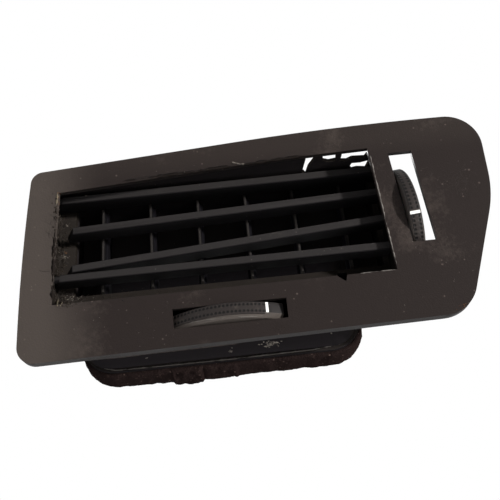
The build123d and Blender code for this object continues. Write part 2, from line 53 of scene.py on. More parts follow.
# The photograph in pixels, and the camera that took it
PICTURE = 500.0
LENS, SENSOR = 62.64, 36.0
CAMERA_PLACE = (0.0113, -0.2937, -0.1838)
CAMERA_PITCH, CAMERA_ROLL = math.radians(33.5), math.radians(5.9)

# The bezel's face leans back by this angle
BEZEL_LEAN = math.radians(13)


# View, backdrop and light

def set_camera():
    """The photograph looks up at the vent from below, a little rolled."""
    ahead = Vector((0.0, math.cos(CAMERA_PITCH), math.sin(CAMERA_PITCH)))
    right = Vector((1.0, 0.0, 0.0))
    up = Vector((0.0, -math.sin(CAMERA_PITCH), math.cos(CAMERA_PITCH)))
    x_axis = right * math.cos(CAMERA_ROLL) - up * math.sin(CAMERA_ROLL)
    y_axis = right * math.sin(CAMERA_ROLL) + up * math.cos(CAMERA_ROLL)
    data = bpy.data.cameras.new("view")
    data.lens, data.sensor_width = LENS, SENSOR
    data.clip_start, data.clip_end = 0.01, 20.0
    camera = bpy.data.objects.new("view", data)
    bpy.context.scene.collection.objects.link(camera)
    turned = Matrix((x_axis, y_axis, -ahead)).transposed().to_4x4()
    camera.matrix_world = Matrix.Translation(CAMERA_PLACE) @ turned
    bpy.context.scene.camera = camera


def set_world(level, background):
    """Even light from all round; camera, mirror and glass rays see the plain white backdrop."""
    world = bpy.data.worlds.new("studio")
    bpy.context.scene.world = world
    world.use_nodes = True
    tree = world.node_tree
    tree.nodes.clear()
    path = tree.nodes.new("ShaderNodeLightPath").outputs
    seen = calc(tree, "ADD", path["Is Camera Ray"], path["Is Transmission Ray"], True)
    seen = calc(tree, "ADD", seen, path["Is Glossy Ray"], True)
    light = put(tree, "ShaderNodeBackground",
                values={"Color": (0.93, 0.96, 1.0, 1.0), "Strength": level})
    white = put(tree, "ShaderNodeBackground",
                values={"Color": (1.0, 1.0, 1.0, 1.0), "Strength": background})
    mix = put(tree, "ShaderNodeMixShader", wires={0: seen, 1: light.outputs[0], 2: white.outputs[0]})
    put(tree, "ShaderNodeOutputWorld", wires={"Surface": mix.outputs[0]})


def add_lamp(name, place, target, size, power, colour):
    """Soft square lamp pointed at a place."""
    data = bpy.data.lights.new(name, "AREA")
    data.shape, data.size, data.size_y = "RECTANGLE", size, size
    data.energy, data.color = power, colour
    lamp = bpy.data.objects.new(name, data)
    bpy.context.scene.collection.objects.link(lamp)
    lamp.location = place
    lamp.rotation_mode = "QUATERNION"
    lamp.rotation_quaternion = (Vector(target) - Vector(place)).to_track_quat("-Z", "Y")


def add_floor(height, half):
    """Plain pale floor far below, out of the camera's sight."""
    mesh = bpy.data.meshes.new("floor")
    corners = [(x, y, height) for x, y in ((-half, -half), (half, -half), (half, half), (-half, half))]
    mesh.from_pydata(corners, [], [(0, 1, 2, 3)])
    floor = bpy.data.objects.new("floor", mesh)
    bpy.context.scene.collection.objects.link(floor)
    pale = bpy.data.materials.new("pale_floor")
    pale.use_nodes = True
    shader = pale.node_tree.nodes["Principled BSDF"]
    shader.inputs["Base Color"].default_value = (0.8, 0.8, 0.8, 1.0)
    shader.inputs["Roughness"].default_value = 0.9
    mesh.materials.append(pale)


# Shared effects, as node groups

def new_group(name, inputs, outputs):
    """Empty shader node group; inputs are name: default pairs, outputs are name: socket type pairs."""
    tree = bpy.data.node_groups.new(name, "ShaderNodeTree")
    for label, value in inputs.items():
        kind = "NodeSocketFloat" if isinstance(value, (int, float)) else "NodeSocketVector"
        made = tree.interface.new_socket(label, in_out="INPUT", socket_type=kind)
        if kind == "NodeSocketFloat":
            made.default_value = value
    for label, kind in outputs.items():
        tree.interface.new_socket(label, in_out="OUTPUT", socket_type=kind)
    return tree, tree.nodes.new("NodeGroupInput"), tree.nodes.new("NodeGroupOutput")


def put(tree, kind, settings=None, values=None, wires=None):
    """One node: its settings, its plain socket values, and what is wired to its sockets."""
    made = tree.nodes.new(kind)
    for key, value in (settings or {}).items():
        setattr(made, key, value)
    for key, value in (values or {}).items():
        made.inputs[key].default_value = value
    for key, source in (wires or {}).items():
        tree.links.new(source, made.inputs[key])
    return made


def calc(tree, operation, first, second, clamp=False):
    """Math node; each side is a number or a socket."""
    made = tree.nodes.new("ShaderNodeMath")
    made.operation, made.use_clamp = operation, clamp
    for place, value in enumerate((first, second)):
        if isinstance(value, (int, float)):
            made.inputs[place].default_value = value
        else:
            tree.links.new(value, made.inputs[place])
    return made.outputs[0]


def step(tree, value, low, high):
    """Smooth rise from 0 to 1 as a value goes from low to high."""
    made = put(tree, "ShaderNodeMapRange", {"interpolation_type": "SMOOTHSTEP"},
               {"From Min": low, "From Max": high}, {"Value": value})
    return made.outputs["Result"]


def dust_group():
    """Soft patches of dust: coarse noise plus finer noise, cut off at a mark that Cover lowers."""
    coarse_share, fine_scale = 0.65, 14.0
    highest_mark, cover_drop, fade = 0.78, 0.5, 0.16
    tree, given, result = new_group(
        "dust_patches", {"Place": (0, 0, 0), "Size": 60.0, "Cover": 0.5},
        {"Mask": "NodeSocketFloat"})
    coarse = put(tree, "ShaderNodeTexNoise", values={"Detail": 4.0, "Roughness": 0.6},
                 wires={"Vector": given.outputs["Place"], "Scale": given.outputs["Size"]})
    fine = put(tree, "ShaderNodeTexNoise", values={"Detail": 6.0, "Roughness": 0.75},
               wires={"Vector": given.outputs["Place"],
                      "Scale": calc(tree, "MULTIPLY", given.outputs["Size"], fine_scale)})
    both = calc(tree, "ADD", calc(tree, "MULTIPLY", coarse.outputs["Fac"], coarse_share),
                calc(tree, "MULTIPLY", fine.outputs["Fac"], 1.0 - coarse_share))
    mark = calc(tree, "SUBTRACT", highest_mark,
                calc(tree, "MULTIPLY", given.outputs["Cover"], cover_drop))
    rise = calc(tree, "DIVIDE", calc(tree, "SUBTRACT", both, mark), fade, True)
    tree.links.new(rise, result.inputs["Mask"])
    return tree


def speck_group():
    """Small separate crumbs of dirt: round spots in the cells of a pattern, a share of them kept."""
    largest, sharpness = 0.34, 12.0
    tree, given, result = new_group(
        "specks", {"Place": (0, 0, 0), "Size": 900.0, "Share": 0.1}, {"Mask": "NodeSocketFloat"})
    cells = put(tree, "ShaderNodeTexVoronoi", {"feature": "F1"}, {"Randomness": 1.0},
                {"Vector": given.outputs["Place"], "Scale": given.outputs["Size"]})
    chance = put(tree, "ShaderNodeSeparateColor", wires={"Color": cells.outputs["Color"]})
    kept = calc(tree, "LESS_THAN", chance.outputs["Red"], given.outputs["Share"])
    radius = calc(tree, "MULTIPLY", chance.outputs["Green"], largest)
    inside = calc(tree, "SUBTRACT", radius, cells.outputs["Distance"])
    spot = calc(tree, "MULTIPLY", inside, sharpness, True)
    tree.links.new(calc(tree, "MULTIPLY", spot, kept), result.inputs["Mask"])
    return tree


def scratch_group():
    """Fine straight scratches: noise squeezed hard across one direction, cut to its thin crests.

    They show only in patches, which a second noise gives and Share widens.
    """
    squeeze = (60.0, 900.0, 2600.0)
    crest_low, crest_high = 0.70, 0.78
    patch_size, highest_mark, share_drop, patch_edge = 45.0, 0.8, 0.4, 8.0
    tree, given, result = new_group(
        "scratches", {"Place": (0, 0, 0), "Turn": 0.4, "Share": 0.5}, {"Mask": "NodeSocketFloat"})
    turned = put(tree, "ShaderNodeVectorRotate", {"rotation_type": "Y_AXIS"},
                 wires={"Vector": given.outputs["Place"], "Angle": given.outputs["Turn"]})
    stretched = put(tree, "ShaderNodeVectorMath", {"operation": "MULTIPLY"},
                    {1: squeeze}, {0: turned.outputs[0]})
    lines = put(tree, "ShaderNodeTexNoise", values={"Scale": 1.0, "Detail": 2.0, "Roughness": 0.5},
                wires={"Vector": stretched.outputs[0]})
    crest = step(tree, lines.outputs["Fac"], crest_low, crest_high)
    patches = put(tree, "ShaderNodeTexNoise", values={"Scale": patch_size, "Detail": 2.0},
                  wires={"Vector": given.outputs["Place"]})
    mark = calc(tree, "SUBTRACT", highest_mark,
                calc(tree, "MULTIPLY", given.outputs["Share"], share_drop))
    area = calc(tree, "MULTIPLY", calc(tree, "SUBTRACT", patches.outputs["Fac"], mark), patch_edge, True)
    tree.links.new(calc(tree, "MULTIPLY", crest, area), result.inputs["Mask"])
    return tree


def grain_group():
    """Leather-like mould grain: height of small rounded cells with finer noise on them."""
    fine_scale, fine_height = 1.8, 0.8
    tree, given, result = new_group(
        "mould_grain", {"Place": (0, 0, 0), "Size": 1500.0}, {"Height": "NodeSocketFloat"})
    cells = put(tree, "ShaderNodeTexVoronoi", {"feature": "SMOOTH_F1"}, {"Smoothness": 0.6},
                {"Vector": given.outputs["Place"], "Scale": given.outputs["Size"]})
    fine = put(tree, "ShaderNodeTexNoise", values={"Detail": 5.0, "Roughness": 0.7},
               wires={"Vector": given.outputs["Place"],
                      "Scale": calc(tree, "MULTIPLY", given.outputs["Size"], fine_scale)})
    height = calc(tree, "ADD", cells.outputs["Distance"],
                  calc(tree, "MULTIPLY", fine.outputs["Fac"], fine_height))
    tree.links.new(height, result.inputs["Height"])
    return tree


def facing_group():
    """How squarely a surface faces one direction: the dot product of its normal, which comes in as
    Place, and Way, as a smooth mask from Low to High.
    """
    tree, given, result = new_group(
        "facing", {"Place": (0, 0, 0), "Way": (0, 0, 1), "Low": 0.3, "High": 0.8},
        {"Mask": "NodeSocketFloat"})
    dot = put(tree, "ShaderNodeVectorMath", {"operation": "DOT_PRODUCT"},
              wires={0: given.outputs["Place"], 1: given.outputs["Way"]})
    made = put(tree, "ShaderNodeMapRange", {"interpolation_type": "SMOOTHSTEP"},
               wires={"Value": dot.outputs["Value"], "From Min": given.outputs["Low"],
                      "From Max": given.outputs["High"]})
    tree.links.new(made.outputs["Result"], result.inputs["Mask"])
    return tree


groups = {
    "dust": dust_group(), "specks": speck_group(), "scratches": scratch_group(),
    "grain": grain_group(), "facing": facing_group(),
}


def effect(tree, name, place, **values):
    """A shared effect placed in a material, with its own values."""
    made = tree.nodes.new("ShaderNodeGroup")
    made.node_tree = groups[name]
    tree.links.new(place, made.inputs["Place"])
    for key, value in values.items():
        made.inputs[key].default_value = value
    return made.outputs[0]


def tint(tree, mask, under, over):
    """Colour mixed by a mask; each colour is a triple or a socket."""
    made = tree.nodes.new("ShaderNodeMix")
    made.data_type = "RGBA"
    tree.links.new(mask, made.inputs["Factor"])
    for key, value in ((6, under), (7, over)):
        if isinstance(value, tuple):
            made.inputs[key].default_value = (*value, 1.0)
        else:
            tree.links.new(value, made.inputs[key])
    return made.outputs[2]


def start_material(name, specular):
    """Material with a Principled shader and the Object coordinates that its effects read."""
    material = bpy.data.materials.new(name)
    material.use_nodes = True
    tree = material.node_tree
    shader = tree.nodes["Principled BSDF"]
    shader.inputs["Specular IOR Level"].default_value = specular
    place = tree.nodes.new("ShaderNodeTexCoord").outputs["Object"]
    return material, tree, shader, place


def end_material(tree, shader, colour, roughness, height, depth):
    """Wires colour, roughness and a bump of a depth in metres to the shader."""
    tree.links.new(colour, shader.inputs["Base Color"])
    tree.links.new(roughness, shader.inputs["Roughness"])
    bump = put(tree, "ShaderNodeBump", values={"Strength": 1.0, "Distance": depth},
               wires={"Height": height})
    tree.links.new(bump.outputs["Normal"], shader.inputs["Normal"])


def moulded_plastic(name, colour, dust_colour, cover=0.5, dust_size=60.0, grain=1500.0,
                    depth=0.00003, rough=(0.5, 0.75), specular=0.12, scratches=0.0, specks=0.05,
                    facings=(), zones=(), dented=None):
    """Used moulded plastic: grain, dust in patches, crumbs of dirt and, where asked, scratches.

    A facing is a direction with a low and a high mark, a share and a colour for the sides that face
    that way, such as painted shade on the sides that face down. A zone is an axis with the two places
    in metres where a colour starts and is full, its share and the colour. Dented is the colour of
    painted shade in a grip's dimples.
    Rough gives the roughness of clean and of dusty plastic, depth the grain's height in metres.
    """
    crumb_size, crumb_share, crumb_paleness = 700.0, 0.6, 2.2
    scratch_turn, scratch_share, scratch_paleness = 0.5, 0.5, 4.0
    zone_wander = 3 * MM
    dent_start, dent_full = 0.05, 0.5
    material, tree, shader, place = start_material(name, specular)
    dust = effect(tree, "dust", place, Size=dust_size, Cover=cover)
    crumbs = effect(tree, "specks", place, Size=crumb_size, Share=specks)
    height = effect(tree, "grain", place, Size=grain)
    base = tint(tree, dust, colour, dust_colour)
    base = tint(tree, calc(tree, "MULTIPLY", crumbs, crumb_share), base,
                tuple(crumb_paleness * v for v in dust_colour))
    if scratches:
        lines = effect(tree, "scratches", place, Turn=scratch_turn, Share=scratches)
        base = tint(tree, calc(tree, "MULTIPLY", lines, scratch_share), base,
                    tuple(scratch_paleness * v for v in colour))
    normal = tree.nodes.new("ShaderNodeTexCoord").outputs["Normal"]
    split = put(tree, "ShaderNodeSeparateXYZ", wires={"Vector": place})
    wander = calc(tree, "MULTIPLY", calc(tree, "SUBTRACT", dust, 0.5), zone_wander)
    for axis, start, end, share, colour_there in zones:
        mask = step(tree, calc(tree, "ADD", split.outputs[axis], wander), start, end)
        base = tint(tree, calc(tree, "MULTIPLY", mask, share), base, colour_there)
    for way, least, most, share, colour_there in facings:
        mask = effect(tree, "facing", normal, Way=way, Low=least, High=most)
        base = tint(tree, calc(tree, "MULTIPLY", mask, share), base, colour_there)
    if dented:
        dent = tree.nodes.new("ShaderNodeAttribute")
        dent.attribute_name = "dent"
        base = tint(tree, step(tree, dent.outputs["Fac"], dent_start, dent_full), base, dented)
    clean, dusty = rough
    roughness = calc(tree, "ADD", clean, calc(tree, "MULTIPLY", dust, dusty - clean))
    end_material(tree, shader, base, roughness, height, depth)
    return material


def worn_edge(name, colour, bright, cover):
    """Rubbed edge: the plastic shows paler where it is worn, in broken stretches."""
    least_rough, wear_rough, depth = 0.4, 0.2, 0.00003
    material, tree, shader, place = start_material(name, specular=0.03)
    wear = effect(tree, "dust", place, Size=120.0, Cover=cover)
    height = effect(tree, "grain", place, Size=2200.0)
    base = tint(tree, wear, colour, bright)
    roughness = calc(tree, "ADD", least_rough, calc(tree, "MULTIPLY", wear, wear_rough))
    end_material(tree, shader, base, roughness, height, depth)
    return material


def dress(name, material, edge=None, radius=0.0):
    """Gives a CAD node its material and, where asked, rounded edges with a material of their own."""
    joined_within, bevelled_from = 0.005 * MM, math.radians(40)
    node = nodes[name]
    node.data.materials.clear()
    node.data.materials.append(material)
    if radius:
        node.data.materials.append(edge or material)
        weld = node.modifiers.new("joined", "WELD")
        weld.merge_threshold = joined_within
        bevel = node.modifiers.new("edges", "BEVEL")
        bevel.width, bevel.segments = radius, 2
        bevel.limit_method, bevel.angle_limit = "ANGLE", bevelled_from
        bevel.use_clamp_overlap = True
        bevel.material = 1


# New pieces: arrays of points turned into closed meshes

def add_piece(name, points, faces, material, body="frame"):
    """Mesh object at the origin from arrays of points and faces, its faces turned outwards."""
    mesh = bpy.data.meshes.new(name)
    mesh.from_pydata(points.tolist(), [], [list(face) for face in faces])
    turned_out = bmesh.new()
    turned_out.from_mesh(mesh)
    bmesh.ops.recalc_face_normals(turned_out, faces=turned_out.faces)
    turned_out.to_mesh(mesh)
    turned_out.free()
    mesh.polygons.foreach_set("use_smooth", np.ones(len(mesh.polygons), dtype=bool))
    mesh.materials.append(material)
    mesh.update()
    piece = bpy.data.objects.new(name, mesh)
    bpy.context.scene.collection.objects.link(piece)
    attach(piece, body)
    return piece


def quads(rows, columns, wrap_rows=False, wrap_columns=False):
    """Faces between neighbours of a grid of points, closed round where asked."""
    row = np.arange(rows if wrap_rows else rows - 1)
    column = np.arange(columns if wrap_columns else columns - 1)
    i, j = (part.ravel() for part in np.meshgrid(row, column, indexing="ij"))
    i_next, j_next = (i + 1) % rows, (j + 1) % columns
    return np.stack([i * columns + j, i_next * columns + j, i_next * columns + j_next,
                     i * columns + j_next], axis=1)


def respaced(path, followers, count, closed=False):
    """Path in even steps along its length, and what goes with its points at the same steps."""
    reach = np.concatenate([[0.0], np.cumsum(np.linalg.norm(np.diff(path, axis=0), axis=1))])
    even = np.linspace(0, reach[-1], count, endpoint=not closed)
    return [np.stack([np.interp(even, reach, column) for column in values.T], axis=1)
            for values in (path, *followers)]


def ripple(points, size, seed):
    """Smooth pseudo-random height: the sum of nine sine waves with wavelengths near size, divided
    by 3.2, which keeps most of it between -1 and 1.
    """
    count, evening = 9, 3.2
    dice = np.random.default_rng(seed)
    ways = dice.normal(size=(count, 3))
    ways /= np.linalg.norm(ways, axis=1, keepdims=True)
    waves = ways * (2 * np.pi / (size * dice.uniform(0.6, 1.7, (count, 1))))
    return np.sin(points @ waves.T + dice.uniform(0, 2 * np.pi, count)).sum(axis=-1) / evening


def tubes(paths, radii, sides=5):
    """Points and faces of thin round strands: rings of a radius set square to each path, capped."""
    no_zero = 1e-12
    across = np.array([0.31, -0.77, 0.56])
    points, faces, start = [], [], 0
    around = np.linspace(0, 2 * np.pi, sides, endpoint=False)
    for path, radius in zip(paths, radii):
        along = np.gradient(path, axis=0)
        along /= np.linalg.norm(along, axis=1, keepdims=True) + no_zero
        aside = np.cross(along, across)
        aside /= np.linalg.norm(aside, axis=1, keepdims=True) + no_zero
        upward = np.cross(along, aside)
        ring = (np.cos(around)[None, :, None] * aside[:, None, :]
                + np.sin(around)[None, :, None] * upward[:, None, :])
        width = np.broadcast_to(radius, len(path))[:, None, None]
        points.append((path[:, None, :] + width * ring).reshape(-1, 3))
        faces.extend((quads(len(path), sides, wrap_columns=True) + start).tolist())
        last = start + (len(path) - 1) * sides
        faces.append(list(range(start + sides - 1, start - 1, -1)))
        faces.append(list(range(last, last + sides)))
        start += len(path) * sides
    return np.concatenate(points), faces


def lumps(places, ups, sizes, seed, flat):
    """Points and faces of small crumbs: squashed spheres of 5 rings by 7 points, dented by chance."""
    rings, sides, pole = 5, 7, 0.25
    dice = np.random.default_rng(seed)
    tilt = np.linspace(pole, np.pi - pole, rings)
    turn = np.linspace(0, 2 * np.pi, sides, endpoint=False)
    ball = np.stack([np.outer(np.sin(tilt), np.cos(turn)), np.outer(np.sin(tilt), np.sin(turn)),
                     np.repeat(np.cos(tilt)[:, None], sides, axis=1)], axis=-1).reshape(-1, 3)
    count = len(places)
    first = np.cross(ups, dice.normal(size=(count, 3)))
    first /= np.linalg.norm(first, axis=1, keepdims=True)
    second = np.cross(ups, first)
    stretch = dice.uniform(0.6, 1.3, (count, 1, 2))
    dents = dice.uniform(0.7, 1.25, (count, len(ball), 1))
    local = ball[None] * dents * np.concatenate([stretch, np.full((count, 1, 1), flat)], axis=2)
    world = (local[..., :1] * first[:, None] + local[..., 1:2] * second[:, None]
             + local[..., 2:] * ups[:, None])
    points = places[:, None] + world * sizes[:, None, None]
    side = quads(rings, sides, wrap_columns=True)
    offsets = (np.arange(count) * len(ball))[:, None, None]
    faces = (side[None] + offsets).reshape(-1, 4).tolist()
    caps = np.array([np.arange(sides)[::-1], np.arange(sides) + (rings - 1) * sides])
    faces += (caps[None] + offsets).reshape(-1, sides).tolist()
    return points.reshape(-1, 3), faces


# Places read from the photograph land on the piece that carries them

def sight(px, py):
    """Direction from the camera through a point of the photograph."""
    view = bpy.context.scene.camera.matrix_world.to_3x3()
    reach = PICTURE * LENS / SENSOR
    return (view @ Vector((px - PICTURE / 2, PICTURE / 2 - py, -reach))).normalized()


def surface_of(*names):
    """Search tree over the triangles of these CAD nodes."""
    points, faces, start = [], [], 0
    for name in names:
        mesh = nodes[name].data
        places = np.empty(len(mesh.vertices) * 3, dtype=np.float32)
        corners = np.empty(len(mesh.loops), dtype=np.int32)
        mesh.vertices.foreach_get("co", places)
        mesh.loops.foreach_get("vertex_index", corners)
        points.append(places.reshape(-1, 3))
        faces.append(corners.reshape(-1, 3) + start)
        start += len(mesh.vertices)
    return BVHTree.FromPolygons(np.concatenate(points).tolist(), np.concatenate(faces).tolist())


def landed(tree, spots, lift=0.0):
    """Places and outward directions where the lines of sight through picture points meet a surface."""
    start = bpy.context.scene.camera.matrix_world.translation
    places, ups = [], []
    for px, py in spots:
        place, up, _, _ = tree.ray_cast(start, sight(px, py))
        if place is None:
            continue
        if up.dot(start - place) < 0:
            up = -up
        places.append(place + up * lift)
        ups.append(up)
    return np.array(places), np.array(ups)


def scattered(tree, spot, spread, count, seed):
    """Landed places spread by chance round a picture point."""
    dice = np.random.default_rng(seed)
    spots = np.array(spot) + dice.normal(size=(count, 2)) * np.array(spread)
    return landed(tree, spots.tolist())


def crumb_piece(name, tree, clusters, material, seed, flat=0.5):
    """Crumbs of dirt lying in clusters.

    A cluster is a picture point, its spread in pixels, a count and the range of sizes in mm.
    """
    places, ups, sizes = [], [], []
    dice = np.random.default_rng(seed)
    for number, (spot, spread, count, low, high) in enumerate(clusters):
        found, up = scattered(tree, spot, spread, count, seed * 100 + number)
        if len(found):
            places.append(found)
            ups.append(up)
            sizes.append(dice.uniform(low, high, len(found)) * 0.5 * MM)
    points, faces = lumps(np.concatenate(places), np.concatenate(ups), np.concatenate(sizes), seed, flat)
    add_piece(name, points, faces, material)


def strand_piece(name, paths, radii, material, sides=4):
    """Strands as one piece; the radii are in mm, one for all of them or one for each."""
    points, faces = tubes(paths, np.broadcast_to(radii, len(paths)) * MM, sides)
    add_piece(name, points, faces, material)


def draped_line(tree, spots, steps, lift, waver=0.0, seed=0):
    """Path through picture points on a surface, in even steps; lift and waver off it are in mm."""
    wave_length = 4 * MM
    places, ups = landed(tree, spots, lift * MM)
    path, up = respaced(places, [ups], steps)
    return path + up * (waver * MM * np.abs(ripple(path, wave_length, seed)))[:, None]


def tuft(tree, spot, spread, count, length, seed, lie=0.5):
    """Paths of short fibres that grow from landed places, bending over and curling by chance.

    The length is in mm; fibres with a lie of 1 lie flat.
    """
    steps, shortest, longest, droop, curl = 7, 0.5, 1.3, 1.3, 0.5
    dice = np.random.default_rng(seed)
    roots, ups = scattered(tree, spot, spread, count, seed)
    along = np.linspace(0, 1, steps)[:, None]
    paths = []
    for root, up in zip(roots, ups):
        side = np.cross(up, dice.normal(size=3))
        side /= np.linalg.norm(side)
        reach = length * dice.uniform(shortest, longest) * MM
        rise = (1 - lie) * reach
        bend = np.cross(up, side) * reach * dice.normal() * curl
        paths.append(root + side * reach * along + up * rise * along * (droop - along)
                     + bend * along ** 2)
    return paths


# Thumbwheel grips: raised bands with two rows of dimples

def grip_band(name, joint, body, radius, rise, spans, rows, edges, pitch, dimple):
    """Band on a wheel's rim: radius + rise - dents, over angle and height, with a hidden back face.

    A dent is its depth times (1 - d squared) squared, d being the distance to the nearest dimple
    centre over the dimple's radius. Angles are in degrees from straight ahead, lengths in mm.
    """
    mesh_step, across = 0.22, 23
    side_round, end_round = 0.3, 0.4
    sunk, back, dent_share = 0.1, 0.3, 0.8
    facts = next(item for item in frame["record"]["behaviour"]["joints"] if item["name"] == joint)
    centre = np.array(facts["pos_m"])
    axle = np.array(facts["axis"]) / np.linalg.norm(facts["axis"])
    ahead = np.cross(axle, np.cross(np.array([0.0, -1.0, 0.0]), axle))
    ahead /= np.linalg.norm(ahead)
    aside = np.cross(axle, ahead)
    points, faces, dents, start = [], [], [], 0
    low, high = edges
    for first, last in spans:
        columns = int(abs(last - first) * radius * np.pi / 180 / mesh_step)
        angle = np.radians(np.linspace(first, last, columns))
        height = np.linspace(low, high, across)
        a, h = np.meshgrid(angle, height, indexing="ij")
        along = a * radius
        phase = (along / pitch) % 1.0 - 0.5
        dent = np.zeros_like(a)
        for row in rows:
            d2 = ((phase * pitch) ** 2 + (h - row) ** 2) / dimple ** 2
            dent = np.maximum(dent, np.clip(1 - d2, 0, 1) ** 2)
        border = np.minimum.reduce([
            (h - low) / side_round, (high - h) / side_round,
            (along - angle[0] * radius) / end_round, (angle[-1] * radius - along) / end_round])
        shoulder = np.clip(border, 0, 1) ** 0.5
        out = radius - sunk + (rise + sunk) * shoulder - dent_share * rise * dent * shoulder
        inner = np.full_like(out, radius - back)
        layers = []
        for r in (out, inner):
            layers.append(centre + MM * (r[..., None] * (np.cos(a)[..., None] * ahead
                                                         + np.sin(a)[..., None] * aside)
                                         + h[..., None] * axle))
        grid = np.concatenate([layers[0], layers[1][:, ::-1]], axis=1)
        rounds = grid.shape[1]
        dents.append(np.concatenate([dent, np.zeros_like(dent)], axis=1).ravel())
        points.append(grid.reshape(-1, 3))
        faces.extend((quads(columns, rounds, wrap_columns=True) + start).tolist())
        faces.append(list(range(start, start + rounds)))
        final = start + (columns - 1) * rounds
        faces.append(list(range(final, final + rounds)))
        start += columns * rounds
    band = add_piece(name, np.concatenate(points), faces, grip_plastic, body)
    band.data.attributes.new("dent", "FLOAT", "POINT").data.foreach_set("value", np.concatenate(dents))


# Foam strip

def window(x, low, high, edge):
    """1 between low and high, falling smoothly to 0 over edge on both sides."""
    rise = np.clip((x - low) / edge + 0.5, 0, 1)
    fall = np.clip((high - x) / edge + 0.5, 0, 1)
    return (3 * rise ** 2 - 2 * rise ** 3) * (3 * fall ** 2 - 2 * fall ** 3)


def foam_strip():
    """Worn foam round the collar: a rounded rectangle path, swept by a rounded section and pitted.

    The path is a rectangle with corner arcs of one radius. The section is a superellipse: powers of
    the cosine and sine of a turn, which give a flat top and rounded corners. Every outer point moves
    outwards by ripples of three sizes, and below, left of the middle, by torn clumps.
    """
    thick, corner = 3.5 * MM, 11.0 * MM
    arc_points, path_points, section_points = 22, 560, 44
    side_power, top_power = 0.35, 0.45
    pits = ((0.22, 6.0, 3), (0.09, 1.9, 4), (0.06, 0.8, 5))
    hang, side_pit, side_wave = 0.30, 0.12, 1.4
    torn_mean, torn_swing, torn_wave = 0.75, 0.30, 3.0
    torn_stretches = ((2.3, -25.0, -12.8, 1.0), (1.1, -12.0, 1.2, 1.5), (0.3, -31.0, -25.0, 1.5))
    low, high = (np.array(end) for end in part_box("foam_seal"))
    left, right, bottom, top = low[0] + thick, high[0] - thick, low[2] + thick, high[2] - thick
    centres = [(left + corner, bottom + corner, np.pi), (right - corner, bottom + corner, 1.5 * np.pi),
               (right - corner, top - corner, 0.0), (left + corner, top - corner, 0.5 * np.pi)]
    ring, out = [], []
    for x, z, start in centres:
        turn = np.linspace(start, start + 0.5 * np.pi, arc_points)
        way = np.stack([np.cos(turn), np.sin(turn)], axis=1)
        ring.append(np.array([x, z]) + corner * way)
        out.append(way)
    ring, out = (np.concatenate([*arcs, arcs[0][:1]]) for arcs in (ring, out))
    path, way = respaced(ring, [out], path_points, closed=True)
    way /= np.linalg.norm(way, axis=1, keepdims=True)
    turn = np.linspace(0, 2 * np.pi, section_points, endpoint=False)
    across = np.sign(np.cos(turn)) * np.abs(np.cos(turn)) ** side_power
    outward = np.sign(np.sin(turn)) * np.abs(np.sin(turn)) ** top_power
    height = (outward * 0.5 + 0.5) * thick
    points = np.empty((len(path), len(turn), 3))
    points[..., 0] = path[:, None, 0] + way[:, None, 0] * height
    points[..., 2] = path[:, None, 1] + way[:, None, 1] * height
    points[..., 1] = (low[1] + high[1]) / 2 + across * (high[1] - low[1]) / 2
    flat = points.reshape(-1, 3)
    rough = sum(depth * ripple(flat, wave * MM, seed) for depth, wave, seed in pits)
    rough = rough.reshape(points.shape[:2]) * MM
    below = np.clip(-way[:, None, 1], 0, 1)
    x = points[..., 0] / MM
    clump = sum(depth * window(x, start, end, edge) for depth, start, end, edge in torn_stretches)
    torn = clump * (torn_mean + torn_swing * ripple(flat, torn_wave * MM, 6).reshape(x.shape)) * MM
    rise = np.clip(outward, 0, 1)
    move = (rough + hang * MM * below + below * torn) * rise
    points[..., 0] += way[:, None, 0] * move
    points[..., 2] += way[:, None, 1] * move
    points[..., 1] += rise * side_pit * MM * ripple(flat, side_wave * MM, 7).reshape(x.shape)
    faces = quads(len(path), len(turn), wrap_rows=True, wrap_columns=True)
    strip = add_piece("foam_strip", points.reshape(-1, 3), faces, foam_skin)
    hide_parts("foam_seal")


def foam_shreds():
    """Loose foam threads that hang from the torn lower edge, in two clumps.

    A clump is its start and end in mm, its count of threads and their length.
    """
    clumps = ((-25.2, -13.0, 60, 1.5), (-12.0, 0.6, 30, 0.8))
    inset, root_depth = 1.0 * MM, 0.8 * MM
    side_sway, deep_sway, drop, fall_share, curl_size = 0.9, 0.6, -1.6, 0.6, 0.9
    thinnest, thickest, root_width, narrowing = 0.10, 0.28, 1.1, 0.6
    dice = np.random.default_rng(21)
    low, high = (np.array(end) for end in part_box("foam_seal"))
    along = np.linspace(0, 1, 6)[:, None]
    paths, radii = [], []
    for start, end, count, length in clumps:
        for _ in range(count):
            root = np.array([dice.uniform(start, end) * MM,
                             dice.uniform(low[1] + inset, high[1] - inset), low[2] + root_depth])
            fall = np.array([dice.normal() * side_sway, dice.normal() * deep_sway, drop])
            fall *= MM * length * fall_share
            curl = dice.normal(size=3) * curl_size * MM
            paths.append(root + fall * along + curl * along * (1 - along))
            radii.append(dice.uniform(thinnest, thickest) * MM * (root_width - narrowing * along[:, 0]))
    points, faces = tubes(paths, radii)
    add_piece("foam_shreds", points, faces, foam_skin)


# Wear laid along edges, and a painted highlight on the collar's rim: thin raised ribbons that follow
# their lines

def on_plane(tree, anchor, spots, steps, lift):
    """Path through picture points on the flat face seen at the anchor point, lifted off it in mm."""
    places, ups = landed(tree, [anchor])
    place, up = places[0] + ups[0] * lift * MM, ups[0]
    pixels, = respaced(np.array(spots, dtype=float), [], steps)
    start = np.array(bpy.context.scene.camera.matrix_world.translation)
    rays = np.array([sight(px, py) for px, py in pixels])
    return start + rays * (((place - start) @ up) / (rays @ up))[:, None]


